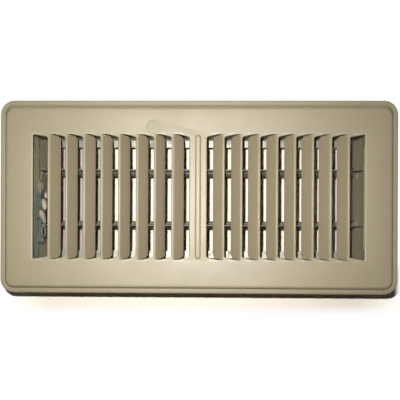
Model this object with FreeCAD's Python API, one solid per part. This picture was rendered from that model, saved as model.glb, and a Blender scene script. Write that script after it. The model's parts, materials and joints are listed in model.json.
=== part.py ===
import FreeCAD, Part
import math
import os

# Drop-in floor register, 4 x 10 in. duct size: a stamped steel faceplate with two banks of
# bent fins over a sheet-steel box that holds a two-blade damper. Millimetres.
# X runs along the length, Y across it, Z up. Z = 0 is the lower edge of the box.

V = FreeCAD.Vector

# ---- duct opening and what laps it ---------------------------------------------------------
duct_length = 254.0         # 10 in.
duct_width = 101.6          # 4 in.
duct_gap_ends = 3.2         # opening to the box, each end
duct_gap_sides = 2.5        # and each side
plate_lap_ends = 15.0       # faceplate beyond the opening
plate_lap_sides = 18.2

# ---- faceplate ---------------------------------------------------------------------------
plate_corner = 10.0
plate_sheet = 0.9
face_height = 57.0          # top of the flat face above the box's lower edge
rim_reach = 7.0             # formed edge, measured in from the outside
rim_height = 5.2            # flat face down to the floor seat
rim_hem = 3.0               # width of the turned-in edge that sits on the floor
rim_roll = 0.65             # centre-line radius of the outer bend
groove_radius = 0.95        # centre-line radius of the groove
rim_band = 1.9              # flat band from the groove to the outer bend
shoulder_radius = 1.55
groove_fall = 50.0          # steepest angle on the face's side of the groove
groove_rise = 10.0          # slope of the band outside it
groove_flank = 0.2
rim_chord = 45.0            # the formed edge's bends are drawn as chords of about this many degrees

# ---- louvre banks ------------------------------------------------------------------------
fin_pitch = 12.7
bar_half = 6.3              # middle bar, centre to its turned-down edge
slot_inset_sides = 3.2      # slots end this far inside the long walls
slot_inset_ends = 4.8       # end slots stop this far inside the end plates
end_slot_least = 8.0        # the fins leave at least this for each open end slot
strip_width = 1.0           # face left standing beside each fin
fin_reach = 6.9             # fold to free edge, seen from above
fin_angle = 40.0
fin_fold = 0.5
fin_corner = 3.0
fin_end_gap = 0.5
lip_radius = 0.5
lip_angle = 75.0
bead_width = 4.0
bead_height = 1.0
bead_inset = 0.3

# ---- box ---------------------------------------------------------------------------------
box_sheet = 0.8
box_flange = 7.0            # welded under the faceplate
box_bend = 1.2
box_hem = 3.0               # stiffening return along the lower edge of the long walls
end_tab = 8.0               # end-plate tabs that lie against the long walls
panel_above_pivot = 9.2     # panel pressed inwards in each end plate
panel_tall = 9.1
panel_inset = 9.5
panel_press = 0.4

# ---- damper ------------------------------------------------------------------------------
blade_lap = 1.6             # each long edge of a blade beyond the middle, or onto its stop
blade_foot = 3.0            # open blades clear the box's lower edge
blade_sheet = 0.8
closed_angle = 88.0
stop_reach = 6.7            # blade stops stand this far in from the long walls
stop_leg = 7.0
stop_clearance = 0.3
rod_radius = 2.0
rod_overhang = 2.2
channel_wrap = 75.0         # half the angle the blade wraps round its rod
saddle_wrap = 60.0
saddle_flange = 5.0
bush_barrel = 3.5
bush_flange_radius = 5.0
bush_flange = 0.8
bush_proud = 1.2
washer_radius = 4.5
washer_sheet = 0.4
washer_rise = 0.5
fixed_fit = 0.03            # radial, pieces that don't turn on each other
running_fit = 0.06          # radial, pieces that do
side_clearance = 0.3

# ---- linkage -----------------------------------------------------------------------------
crank_radius = 16.0
crank_sheet = 1.2
crank_hub = 4.5
crank_end = 3.5
pin_radius = 1.8
pin_tail = 1.4
pin_head = 3.0
pin_head_thick = 0.7
link_sheet = 1.2
link_end = 3.5
strap_sheet = 1.2
strap_width = 9.0
strap_foot = 4.0            # strap below the line of the crank pins
strap_corner = 1.0
rivet_radius = 1.2
rivet_head = 1.9
rivet_head_thick = 0.7
rivet_spacing = 5.0
grip_half = 16.5
grip_height = 4.2
grip_width = 4.4
grip_web = 2.4
grip_gap = 1.3              # last knuckle to the nearest fin's strip, seen from above
# centre and length of each knuckle as shares of the grip's length, sideways shift as a share
# of the grip's width
knuckles = ((-0.076, 0.31, -0.25), (0.206, 0.242, 0.05), (0.412, 0.158, 0.45))
eye_half = 5.1
eye_wall = 1.3
open_pivot_fit = 0.25     # radial, rear crank pin in the link

# ---- derived places ----------------------------------------------------------------------
half_length = duct_length / 2 + plate_lap_ends
half_width = duct_width / 2 + plate_lap_sides
box_half_length = duct_length / 2 - duct_gap_ends - box_sheet     # inside of the end plates
box_half_width = duct_width / 2 - duct_gap_sides - box_sheet      # inside of the long walls
slot_half = box_half_width - slot_inset_sides
bead_half = slot_half - bead_inset
stop_tip = box_half_width - stop_reach
pivot_offset = stop_tip / 2
blade_half = pivot_offset + blade_lap
pivot_height = blade_half + blade_foot
panel_low = pivot_height + panel_above_pivot
panel_high = panel_low + panel_tall
panel_half = box_half_width - panel_inset
face_under = face_height - plate_sheet
end_slot_end = box_half_length - slot_inset_ends
fins_per_bank = int((end_slot_end - end_slot_least - bar_half) / fin_pitch)
end_slot_start = bar_half + fins_per_bank * fin_pitch
lip_reach = (lip_radius + plate_sheet / 2) * math.sin(math.radians(lip_angle))
channel_radius = rod_radius + fixed_fit + blade_sheet / 2
bush_inner = box_half_length - bush_flange
crank_outer = bush_inner - side_clearance
link_outer = crank_outer - crank_sheet - side_clearance
strap_outer = link_outer - link_sheet
blade_left = -(strap_outer - strap_sheet - 2 * side_clearance)
blade_right = bush_inner - 2 * side_clearance - washer_rise - washer_sheet
open_crank = 90.0 + closed_angle / 2
pin_y = crank_radius * math.cos(math.radians(open_crank))
pin_z = crank_radius * math.sin(math.radians(open_crank))
pin_height = pivot_height + pin_z
shelf_under = pivot_height + blade_half + 3 * side_clearance
shelf_top = shelf_under + strap_sheet
grip_x = -end_slot_start - grip_gap - (knuckles[-1][2] + 0.5) * grip_width
shelf_end = grip_x + grip_web / 2
stop_level = (stop_tip - pivot_offset) / math.tan(math.radians(closed_angle))
stop_level = stop_level - blade_sheet / 2 / math.sin(math.radians(closed_angle)) - stop_clearance


# ---- bent sheet --------------------------------------------------------------------------
def straight(length):
    return (length, 0.0, 0.0)


def bend(radius, degrees):
    """A bend of the sheet's centre line; positive turns left."""
    return (0.0, radius, degrees)


def polar(radius, degrees):
    angle = math.radians(degrees)
    return V(radius * math.cos(angle), radius * math.sin(angle), 0)


def sheet_section(start, heading, runs, sheet, chord=0.0):
    """Face of a bent sheet seen edge-on, in the (x, y) plane, from its centre line. Its bends
    are arcs, or chords of about `chord` degrees."""
    edges = []
    point = V(start[0], start[1], 0)
    ends = []
    for length, radius, turn in runs:
        side = polar(sheet / 2, heading + 90)
        if not ends:
            ends.append((point + side, point - side))
        if turn == 0:
            after = point + polar(length, heading)
            edges.append(Part.makeLine(point + side, after + side))
            edges.append(Part.makeLine(point - side, after - side))
        else:
            sign = math.copysign(1, turn)
            centre = point + polar(radius, heading + 90 * sign)
            first = heading - 90 * sign
            chords = round(abs(turn) / chord) if chord else 2
            shares = [step / chords for step in range(chords + 1)]
            for rim in (radius - sheet / 2, radius + sheet / 2):
                points = [centre + polar(rim, first + turn * share) for share in shares]
                if chord:
                    edges.extend(Part.makeLine(a, b) for a, b in zip(points, points[1:]))
                else:
                    edges.append(Part.Arc(*points).toShape())
            after = centre + polar(radius, first + turn)
            heading = heading + turn
        point = after
    side = polar(sheet / 2, heading + 90)
    ends.append((point + side, point - side))
    edges.extend(Part.makeLine(a, b) for a, b in ends)
    return Part.Face(Part.Wire(Part.__sortEdges__(edges)))


def laid(face, origin, across, up):
    """The section with its x along `across` and its y along `up`."""
    normal = across.cross(up)
    turn = FreeCAD.Matrix(across.x, up.x, normal.x, origin.x,
                          across.y, up.y, normal.y, origin.y,
                          across.z, up.z, normal.z, origin.z, 0, 0, 0, 1)
    copy = face.copy()
    copy.Placement = FreeCAD.Placement(turn)
    return copy


def bent_sheet(start, heading, runs, sheet, origin, across, up, along):
    return laid(sheet_section(start, heading, runs, sheet), origin, across, up).extrude(along)


def block(low, high):
    return Part.makeBox(high[0] - low[0], high[1] - low[1], high[2] - low[2], V(*low))


def rounded_block(low, high, radius):
    solid = block(low, high)
    upright = [e for e in solid.Edges if abs(e.Vertexes[0].Z - e.Vertexes[1].Z) > 1e-6]
    return solid.makeFillet(radius, upright)


def stadium(half_long, half_wide, low, high):
    """Upright round-ended bar along Y."""
    solid = block((-half_wide, half_wide - half_long, low), (half_wide, half_long - half_wide, high))
    for y in (half_wide - half_long, half_long - half_wide):
        solid = solid.fuse(Part.makeCylinder(half_wide, high - low, V(0, y, low)))
    return solid.removeSplitter()


def rod_along_x(radius, start, end, y, z):
    return Part.makeCylinder(radius, end - start, V(start, y, z), V(1, 0, 0))


def fused(shapes):
    return shapes[0].multiFuse(shapes[1:]).removeSplitter()


# ---- faceplate ---------------------------------------------------------------------------
def rim_section():
    """The formed edge: flat, groove, outer band, skirt and turned-in hem."""
    sines = math.sin(math.radians(groove_fall)) * (shoulder_radius + groove_radius)
    sines += math.sin(math.radians(groove_rise)) * (groove_radius + rim_roll)
    slopes = groove_flank * math.cos(math.radians(groove_fall))
    slopes += rim_band * math.cos(math.radians(groove_rise))
    flat = rim_reach - plate_sheet / 2 - rim_roll - sines - slopes
    drop = (shoulder_radius + groove_radius) * (1 - math.cos(math.radians(groove_fall)))
    drop += groove_flank * math.sin(math.radians(groove_fall))
    drop -= (groove_radius + rim_roll) * (1 - math.cos(math.radians(groove_rise)))
    drop -= rim_band * math.sin(math.radians(groove_rise))
    hem_bend = plate_sheet
    skirt = rim_height - plate_sheet - drop - rim_roll - hem_bend
    runs = [straight(flat), bend(shoulder_radius, -groove_fall), straight(groove_flank),
            bend(groove_radius, groove_fall + groove_rise), straight(rim_band),
            bend(rim_roll, -groove_rise - 90), straight(skirt), bend(hem_bend, -90),
            straight(rim_hem - hem_bend - plate_sheet / 2)]
    return sheet_section((-rim_reach, -plate_sheet / 2), 0, runs, plate_sheet, rim_chord)


def rim():
    section = rim_section()
    up = V(0, 0, 1)
    pieces = []
    for sx, sy in ((1, 1), (-1, 1), (-1, -1), (1, -1)):
        corner = V(sx * (half_length - plate_corner), sy * (half_width - plate_corner), face_height)
        out_x = laid(section, corner + V(sx * plate_corner, 0, 0), V(sx, 0, 0), up)
        out_y = laid(section, corner + V(0, sy * plate_corner, 0), V(0, sy, 0), up)
        pieces.append(out_x.revolve(corner, V(0, 0, sx * sy), 90))
        if sy > 0:
            pieces.append(out_x.extrude(V(0, 2 * plate_corner - 2 * half_width, 0)))
        if sx > 0:
            pieces.append(out_y.extrude(V(2 * plate_corner - 2 * half_length, 0, 0)))
    return pieces


def slot(side, inner, outer):
    """Cutter for one slot of a bank; side is -1 left, +1 right."""
    xs = sorted((side * inner, side * outer))
    return block((xs[0], -slot_half, face_under - 1), (xs[1], slot_half, face_height + 1))


def lip(side, x, outward):
    """Slot edge turned down; outward is +1 where it faces away from the middle."""
    across = V(side * outward, 0, 0)
    origin = V(side * (x - outward * lip_reach), -slot_half, face_under + plate_sheet / 2)
    runs = [bend(lip_radius, -lip_angle)]
    return bent_sheet((0, 0), 0, runs, plate_sheet, origin, across, V(0, 0, 1), V(0, 2 * slot_half, 0))


def fin(side, edge):
    """One fin, folded down from the strip whose outer edge is `edge`, with its corners rounded."""
    angle = math.radians(fin_angle)
    flat = (fin_reach - (fin_fold + plate_sheet / 2) * math.sin(angle)) / math.cos(angle)
    runs = [bend(fin_fold, -fin_angle), straight(flat)]
    half = slot_half - fin_end_gap
    fold = edge - strip_width
    origin = V(side * fold, -half, face_under + plate_sheet / 2)
    plate = bent_sheet((0, 0), 0, runs, plate_sheet, origin, V(-side, 0, 0), V(0, 0, 1), V(0, 2 * half, 0))
    root = fold + 2 * fin_corner
    xs = sorted((side * (fold - fin_reach), side * root))
    depth = plate.BoundBox.ZMin - 1
    return plate.common(rounded_block((xs[0], -half, depth), (xs[1], half, face_height + 1), fin_corner))


def bead():
    """Hollow stiffening bead pressed up along the middle bar."""
    top = face_height + bead_height
    crown = stadium(bead_half, bead_width / 2, face_under, top)
    rim_edges = [e for e in crown.Edges if e.BoundBox.ZMin > top - 1e-6]
    return crown.makeChamfer(0.6 * bead_height, rim_edges)


def faceplate():
    inset = V(rim_reach, rim_reach, 0)
    low = V(-half_length, -half_width, face_under) + inset
    high = V(half_length, half_width, face_height) - inset
    field = rounded_block(tuple(low), tuple(high), plate_corner - rim_reach)
    cuts = []
    added = rim() + [bead()]
    for side in (-1, 1):
        for number in range(fins_per_bank):
            edge = bar_half + number * fin_pitch
            cuts.append(slot(side, edge - lip_reach, edge + fin_pitch - strip_width))
            added.append(lip(side, edge, 1))
            added.append(fin(side, edge + fin_pitch))
        cuts.append(slot(side, end_slot_start - lip_reach, end_slot_end + lip_reach))
        added.append(lip(side, end_slot_start, 1))
        added.append(lip(side, end_slot_end, -1))
    field = field.cut(Part.makeCompound(cuts))
    plate = fused([field] + added)
    hollow = stadium(bead_half - plate_sheet, bead_width / 2 - plate_sheet, face_under - 1,
                     face_height + bead_height - plate_sheet)
    return plate.cut(hollow)


# ---- box ---------------------------------------------------------------------------------
def side_wall(side):
    """Long wall: flange under the faceplate, wall, and a turned-in lower edge."""
    middle = box_half_width + box_sheet / 2
    runs = [straight(box_flange - box_bend), bend(box_bend, 90),
            straight(face_under - box_sheet - 2 * box_bend), bend(box_bend, -90),
            straight(box_hem - box_bend)]
    start = (middle + box_flange, face_under - box_sheet / 2)
    return bent_sheet(start, 180, runs, box_sheet, V(-box_half_length, 0, 0), V(0, side, 0), V(0, 0, 1),
                      V(2 * box_half_length, 0, 0))


def end_plate(side):
    """End of the box: web with a flange on top, tabs at the sides and a pressed panel."""
    middle = box_half_length + box_sheet / 2
    reach = box_half_width - box_sheet / 2
    outward = V(side, 0, 0)
    tab = straight(end_tab - box_bend)
    web = straight(2 * reach - 2 * box_bend)
    tray_low = box_bend + box_sheet
    tray_high = face_under - box_sheet - box_bend
    corner = bend(box_bend, -90)
    tray = bent_sheet((-reach, middle - end_tab), 90, [tab, corner, web, corner, tab], box_sheet,
                      V(0, 0, tray_low), V(0, 1, 0), outward, V(0, 0, tray_high - tray_low))
    flange = bent_sheet((middle + box_flange, face_under - box_sheet / 2), 180,
                        [straight(box_flange - box_bend), bend(box_bend, 90), straight(2 * box_bend)],
                        box_sheet, V(0, box_bend - reach, 0), outward, V(0, 0, 1),
                        V(0, 2 * (reach - box_bend), 0))
    inside = box_half_length
    hem_clear = box_half_width - box_hem - side_clearance
    foot = end_block(side, inside, inside + box_sheet, hem_clear, 0, 2 * tray_low)
    pad = end_block(side, inside - panel_press, inside + box_sheet, panel_half, panel_low, panel_high)
    recess = end_block(side, inside + box_sheet - panel_press, inside + 2 * box_sheet, panel_half - box_sheet,
                       panel_low + box_sheet, panel_high - box_sheet)
    plate = fused([tray, flange, foot, pad])
    holes = [rod_along_x(bush_barrel + fixed_fit, -2 * half_length, 2 * half_length, y, pivot_height)
             for y in (-pivot_offset, pivot_offset)]
    return plate.cut(Part.makeCompound([recess] + holes))


def end_block(side, inner, outer, half, low, high):
    xs = sorted((side * inner, side * outer))
    return block((xs[0], -half, low), (xs[1], half, high))


def blade_stop(side):
    """Angle welded to a long wall; the rear blade comes down on it, the front one up against it."""
    leg = stop_leg - box_bend - box_sheet / 2
    reach = box_half_width - box_sheet / 2 - stop_tip - box_bend
    rear = side > 0
    level = pivot_height + side * stop_level - side * box_sheet / 2
    runs = [straight(reach), bend(box_bend, -90 if rear else 90), straight(leg)]
    half = box_half_length - end_tab - side_clearance
    return bent_sheet((stop_tip, level), 0, runs, box_sheet, V(-half, 0, 0), V(0, side, 0), V(0, 0, 1),
                      V(2 * half, 0, 0))


def bush(x_side, y_side):
    y = y_side * pivot_offset
    spans = ((bush_flange_radius, bush_inner, box_half_length),
             (bush_barrel, bush_inner, box_half_length + box_sheet + bush_proud))
    body = [rod_along_x(radius, *sorted((x_side * inner, x_side * outer)), y, pivot_height)
            for radius, inner, outer in spans]
    bore = rod_along_x(rod_radius + running_fit, -half_length, half_length, y, pivot_height)
    return fused(body).cut(bore)


def spring_washer(y_side):
    """Dished washer between a blade's right end and its bush; it drags, so the blade stays put."""
    near = blade_right + side_clearance
    hole = rod_radius + 2 * running_fit
    rim = near + washer_rise
    corners = [V(near, hole, 0), V(near + washer_sheet, hole, 0), V(rim + washer_sheet, washer_radius, 0),
               V(rim, washer_radius, 0)]
    face = Part.Face(Part.makePolygon(corners + corners[:1]))
    face.translate(V(0, y_side * pivot_offset, pivot_height))
    return face.revolve(V(0, y_side * pivot_offset, pivot_height), V(1, 0, 0), 360)


# ---- damper ------------------------------------------------------------------------------
def blade(y_side):
    """Flat blade with a channel pressed round its pivot rod."""
    angle = math.radians(channel_wrap)
    entry = channel_radius * math.cos(angle) / (1 - math.cos(angle))
    flat = straight(blade_half - (entry + channel_radius) * math.sin(angle))
    runs = [flat, bend(entry, channel_wrap), bend(channel_radius, -2 * channel_wrap),
            bend(entry, channel_wrap), flat]
    origin = V(blade_left, y_side * pivot_offset, pivot_height)
    return bent_sheet((0, blade_half), -90, runs, blade_sheet, origin, V(0, 1, 0), V(0, 0, 1),
                      V(blade_right - blade_left, 0, 0))


def rod_saddle(y_side):
    """Strip welded to the blade's other face that closes the channel over the rod."""
    angle = math.radians(saddle_wrap)
    entry = (channel_radius * math.cos(angle) - blade_sheet) / (1 - math.cos(angle))
    top = saddle_flange + (entry + channel_radius) * math.sin(angle)
    runs = [straight(saddle_flange), bend(entry, -saddle_wrap), bend(channel_radius, 2 * saddle_wrap),
            bend(entry, -saddle_wrap), straight(saddle_flange)]
    origin = V(blade_left, y_side * pivot_offset, pivot_height)
    return bent_sheet((-blade_sheet, top), -90, runs, blade_sheet, origin, V(0, 1, 0), V(0, 0, 1),
                      V(blade_right - blade_left, 0, 0))


def pivot_rod(y_side):
    end = box_half_length + box_sheet + rod_overhang
    rod = rod_along_x(rod_radius, -end, end, y_side * pivot_offset, pivot_height)
    return rod.makeChamfer(0.2 * rod_radius, [e for e in rod.Edges if e.BoundBox.XLength < 1e-6])


def link_plate(first, first_radius, second, second_radius, x, sheet):
    """Flat plate across X with a round end about each of two (y, z) points."""
    run = math.degrees(math.atan2(second[1] - first[1], second[0] - first[0]))
    gap = math.hypot(second[0] - first[0], second[1] - first[1])
    lean = math.degrees(math.acos((first_radius - second_radius) / gap))
    ends = []
    for centre, radius, far in ((first, first_radius, 180), (second, second_radius, 0)):
        ends.append([V(*centre, 0) + polar(radius, run + turn) for turn in (lean, far, -lean)])
    edges = [Part.Arc(*points).toShape() for points in ends]
    edges.append(Part.makeLine(ends[0][0], ends[1][0]))
    edges.append(Part.makeLine(ends[0][2], ends[1][2]))
    face = Part.Face(Part.Wire(Part.__sortEdges__(edges)))
    return laid(face, V(x, 0, 0), V(0, 1, 0), V(0, 0, 1)).extrude(V(sheet, 0, 0))


def crank_arm(y_side):
    hub = (y_side * pivot_offset, pivot_height)
    pin = (hub[0] + pin_y, pin_height)
    arm = link_plate(hub, crank_hub, pin, crank_end, -crank_outer, crank_sheet)
    bores = [rod_along_x(rod_radius + fixed_fit, -half_length, 0, *hub),
             rod_along_x(pin_tail + fixed_fit, -half_length, 0, *pin)]
    return arm.cut(Part.makeCompound(bores))


def crank_pin(y_side):
    """Shouldered pin riveted into the crank arm, with a head that keeps the link on."""
    place = (y_side * pivot_offset + pin_y, pin_height)
    head = -strap_outer + side_clearance
    tail = rod_along_x(pin_tail, -crank_outer, head, *place)
    body = rod_along_x(pin_radius, -crank_outer + crank_sheet, head, *place)
    cap = rod_along_x(pin_head, head, head + pin_head_thick, *place)
    cap = cap.makeChamfer(pin_head_thick / 2, [e for e in cap.Edges if e.BoundBox.XMin > head + 1e-6])
    return fused([tail, body, cap])


# ---- link and lever ----------------------------------------------------------------------
def rivet_places():
    return [(pin_y + share * rivet_spacing, pin_height) for share in (-0.5, 0.5)]


def link_bar():
    front = (pin_y - pivot_offset, pin_height)
    rear = (pin_y + pivot_offset, pin_height)
    bar = link_plate(front, link_end, rear, link_end, -link_outer, link_sheet)
    bores = [rod_along_x(pin_radius + running_fit, -half_length, 0, *front),
             rod_along_x(pin_radius + open_pivot_fit, -half_length, 0, *rear)]
    bores += [rod_along_x(rivet_radius + fixed_fit, -half_length, 0, *place) for place in rivet_places()]
    return bar.cut(Part.makeCompound(bores))


def lever_strap():
    """Strap riveted to the link; its top is bent over to a shelf that carries the finger grip."""
    low = pin_height - strap_foot
    rise = straight(shelf_top - strap_sheet / 2 - strap_sheet - low)
    centre_x = -strap_outer + strap_sheet / 2
    runs = [rise, bend(strap_sheet, -90), straight(shelf_end - centre_x - strap_sheet)]
    strap = bent_sheet((centre_x, low), 90, runs, strap_sheet, V(0, pin_y - strap_width / 2, 0), V(1, 0, 0),
                       V(0, 0, 1), V(0, strap_width, 0))
    tip = [e for e in strap.Edges if e.BoundBox.XMin > shelf_end - 1e-6 and e.BoundBox.ZLength > 1e-6]
    strap = strap.makeFillet(strap_corner, tip)
    bores = [rod_along_x(rivet_radius + fixed_fit, -half_length, 0, *place) for place in rivet_places()]
    return strap.cut(Part.makeCompound(bores))


def lever_rivets():
    outer = -link_outer
    inner = -strap_outer + strap_sheet
    rivets = []
    for place in rivet_places():
        shank = rod_along_x(rivet_radius, outer, inner, *place)
        heads = [rod_along_x(rivet_head, outer - rivet_head_thick, outer, *place),
                 rod_along_x(rivet_head, inner, inner + rivet_head_thick, *place)]
        rivets.append(fused([shank] + heads))
    return Part.makeCompound(rivets)


def knuckle(centre, length, shift):
    """One swelling of the grip: a lens-shaped bar with its top edges taken off."""
    half = length * grip_half
    swell = grip_width / 2
    ends = 0.55 * swell
    sides = [Part.Arc(V(s * ends, -half, 0), V(s * swell, 0, 0), V(s * ends, half, 0)).toShape()
             for s in (-1, 1)]
    caps = [Part.makeLine(V(-ends, y, 0), V(ends, y, 0)) for y in (-half, half)]
    bar = Part.Face(Part.Wire(Part.__sortEdges__(sides + caps))).extrude(V(0, 0, grip_height))
    bar = bar.makeChamfer(swell / 3, [e for e in bar.Edges if e.BoundBox.ZMin > grip_height - 1e-6])
    bar.translate(V(grip_x + shift * grip_width, pin_y + centre * 2 * grip_half, shelf_top))
    return bar


def lever_grip():
    """Moulded finger grip: three knuckles in a slight curve and a slotted eye at the front end."""
    swell = grip_width / 2
    eye_top = grip_height - swell / 2
    eye = stadium(eye_half, swell, 0, eye_top)
    eye = eye.makeChamfer(swell / 4, [e for e in eye.Edges if e.BoundBox.ZMin > eye_top - 1e-6])
    eye = eye.cut(stadium(eye_half - eye_wall, swell - eye_wall, -1, grip_height))
    eye.translate(V(grip_x, pin_y - grip_half + eye_half, shelf_top))
    web_half = grip_half - 1.5 * eye_wall
    web = block((grip_x - grip_web / 2, pin_y - grip_half + 2 * eye_half - eye_wall, shelf_top),
                (grip_x + grip_web / 2, pin_y + web_half, shelf_top + grip_height / 2))
    return fused([eye, web] + [knuckle(*place) for place in knuckles])


# ---- every node --------------------------------------------------------------------------
nodes = {"faceplate": faceplate()}
for name, side in (("front", -1), ("rear", 1)):
    nodes[name + "_side_wall"] = side_wall(side)
    nodes[name + "_blade_stop"] = blade_stop(side)
    nodes[name + "_blade"] = blade(side)
    nodes[name + "_rod_saddle"] = rod_saddle(side)
    nodes[name + "_pivot_rod"] = pivot_rod(side)
    nodes[name + "_spring_washer"] = spring_washer(side)
    nodes[name + "_crank_arm"] = crank_arm(side)
    nodes[name + "_crank_pin"] = crank_pin(side)
    nodes[name + "_left_bush"] = bush(-1, side)
    nodes[name + "_right_bush"] = bush(1, side)
nodes["left_end_plate"] = end_plate(-1)
nodes["right_end_plate"] = end_plate(1)
nodes["link_bar"] = link_bar()
nodes["lever_strap"] = lever_strap()
nodes["lever_grip"] = lever_grip()
nodes["lever_rivets"] = lever_rivets()

os.makedirs("parts", exist_ok=True)
for name, shape in nodes.items():
    shape.exportStep("parts/" + name + ".step")
    print(name, len(shape.Solids), shape.isValid(), round(shape.Volume, 1))
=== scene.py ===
import math
import json
import bpy
import bmesh
from mathutils import Matrix, Vector


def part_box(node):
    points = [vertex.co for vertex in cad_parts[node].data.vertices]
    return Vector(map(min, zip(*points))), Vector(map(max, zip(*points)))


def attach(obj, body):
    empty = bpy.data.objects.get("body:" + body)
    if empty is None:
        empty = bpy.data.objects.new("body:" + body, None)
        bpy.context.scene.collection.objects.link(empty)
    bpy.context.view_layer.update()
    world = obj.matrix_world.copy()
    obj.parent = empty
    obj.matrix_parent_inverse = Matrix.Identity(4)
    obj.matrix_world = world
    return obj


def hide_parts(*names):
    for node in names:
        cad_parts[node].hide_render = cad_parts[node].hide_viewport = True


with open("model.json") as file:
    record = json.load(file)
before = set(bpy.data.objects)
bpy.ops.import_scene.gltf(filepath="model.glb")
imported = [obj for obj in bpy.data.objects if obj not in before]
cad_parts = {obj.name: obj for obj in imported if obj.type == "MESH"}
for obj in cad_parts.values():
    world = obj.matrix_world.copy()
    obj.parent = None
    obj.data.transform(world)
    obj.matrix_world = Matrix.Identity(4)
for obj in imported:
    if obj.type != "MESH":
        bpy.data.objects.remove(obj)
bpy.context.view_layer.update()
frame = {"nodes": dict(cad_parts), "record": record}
MM = 0.001

# ---- sizes, in millimetres -------------------------------------------------------------------
plate_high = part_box("faceplate")[1]
HALF_LENGTH = plate_high.x / MM
HALF_WIDTH = plate_high.y / MM
BEAD_HEIGHT = 1.0
FACE = plate_high.z / MM - BEAD_HEIGHT
INNER_HALF_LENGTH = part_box("front_side_wall")[1].x / MM     # inside of the box, to the end plates
INNER_HALF_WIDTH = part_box("left_end_plate")[1].y / MM       # and to the long walls
SHEET = 0.9
CUT_EDGE = 0.16             # width of the softened edge of the cut sheet
MERGE = 0.002               # points of the sheet nearer than this are one
CORNER = 10.0               # outer corner radius of the plate
CORNER_STEPS = 12

# formed edge of the plate, from where the flat field ends: (length,) or (radius, turn in degrees)
RIM_START = -7.0
RIM_RUNS = ((0.986,), (2.0, -50), (0.7,), (0.5, 60), (2.3,), (1.1, -100), (1.675,), (1.35, -90), (1.65,))
RIM_STEPS = 7
GROOVE = 3.8                # painted shade in the groove lies this far inside the outline
RIM_ROLL = 2.6              # and the rolled rim reaches this far in

# bars and slots
FIN_PITCH = 12.7
FINS = 8                    # in each bank
STRIP = 1.0                 # flat strip of the field between a fold and the next slot
BAR_HALF = 6.3              # half-width of the middle bar
SLOT_HALF = 44.3
SLOT_CORNER = 1.6
FOLD_HALF = 44.65           # half-length of a slot at its fold
SLANT = 0.24                # slots grow shorter beyond SLANT_START from the fold
SLANT_START = 4.0
END_SLOT_NEAR = BAR_HALF + FINS * FIN_PITCH
END_SLOT_FAR = 118.2
LIP_RADIUS = 0.95           # slots are rolled down round this radius
LIP_ANGLE = 75.0            # through this many degrees
LIP_REACH = LIP_RADIUS * math.sin(math.radians(LIP_ANGLE))
END_ROLL = 0.7              # slot ends are rolled down this much as far as their sides
# how that roll fades beside a fold: distance from the fold, share of the full roll
ROLL_FADE = ((0.0, 0.06), (0.6, 0.16), (1.4, 0.34), (2.4, 0.52), (3.6, 0.65), (5.0, END_ROLL))

# fins as they stand, each bent a little more or less; degrees, from the middle outwards
LEFT_FINS = (31.0, 42.0, 36.0, 43.0, 45.0, 39.5, 45.0, 38.5)
RIGHT_FINS = (35.5, 39.5, 33.5, 40.0, 43.5, 38.0, 32.0, 38.0)
FIN_LENGTH = 8.86           # fold to free edge along the fin
FIN_FOLD = 0.95             # radius of the fold
FIN_CORNER = 2.9
ROOT_GAP = 0.1              # a fin stops this short of the rolled slot ends beside its fold,
FIN_CLEAR = 0.25            # and this short of them from 1 mm beyond ROOT_RUN
ROOT_RUN = 1.2              # distance from the fold
CORNER_EASE = 3.2           # the fin's painted shade is rounded off at the ends of its fold, so those corners keep the face's lighter colour as if lit
HIGHLIGHT_SHIFT = 0.9             # painted highlights lie this far left of whole fin pitches from the middle

# bead and spot weld: (inset, share of the height) and (share of the radius, height)
BEAD_HALF_WIDTH = 2.0
BEAD_FOOT = 0.35            # its foot spreads this much further on each side
BEAD_END_FLAT = 0.04        # straight part in the middle of its round ends
BEAD_PROFILE = ((0, 0), (0.2, 0.03), (0.38, 0.15), (0.56, 0.36), (0.74, 0.58), (0.95, 0.76), (1.25, 0.89),
                (1.65, 0.97), (2.1, 1.0))
WELD = (-32.4, 50.4)
WELD_RADIUS = 5.1
WELD_PROFILE = ((1.0, 0.0), (0.93, -0.05), (0.86, -0.06), (0.76, 0.02), (0.6, 0.05), (0.35, 0.02),
                (0.12, 0.0))

# swellings of the grip, from its middle: across, along, half-length, half-width, lean in degrees
SWELLINGS = ((2.3, 12.3, 2.5, 1.5, 0), (0.8, 5.9, 4.3, 1.8, 10), (-0.2, -3.4, 5.4, 2.0, 19))
# eye of the grip, from its middle
EYE = (0.4, -13.3)
EYE_HALF_WIDTH = 2.0
EYE_HALF_LENGTH = 4.0       # to the middle of the wire
EYE_WIRE = 0.72             # half-width of the wire round the eye
EYE_HALF_HEIGHT = 1.1
EYE_DROP = 0.3              # it lies this much below the middle of the swellings
EYE_SQUARE = 0.8            # under 1, its ends are squarer than an ellipse's
EYE_TAPER = 0.12            # its far end is this share narrower than its middle
EYE_TURN = 0.6              # the wire faces outwards less along the grip than across it
GRIP_VOXEL = 0.2
TONE_START = 3.3            # along Y, where the tones of its plastic set out towards the eye
TONE_RUN = 33.0             # how far they run
TONE_MIDDLE = -112.5        # across X, where they lean neither way
TONE_LEAN = 0.018           # how far they lean, as a share of the run for each millimetre across

# marks on the box and the damper: painted shade and painted highlights
END_SHADE_LINES = ((34.5, 0.4, 1.3, 1.0), (43.4, 0.5, 1.4, 0.8))  # lines of painted shade: height, half-width, reach, strength
BLADE_HIGHLIGHT_LINES = (-19.0, -21.6)                                 # painted highlights along the front blade and its saddle
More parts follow.
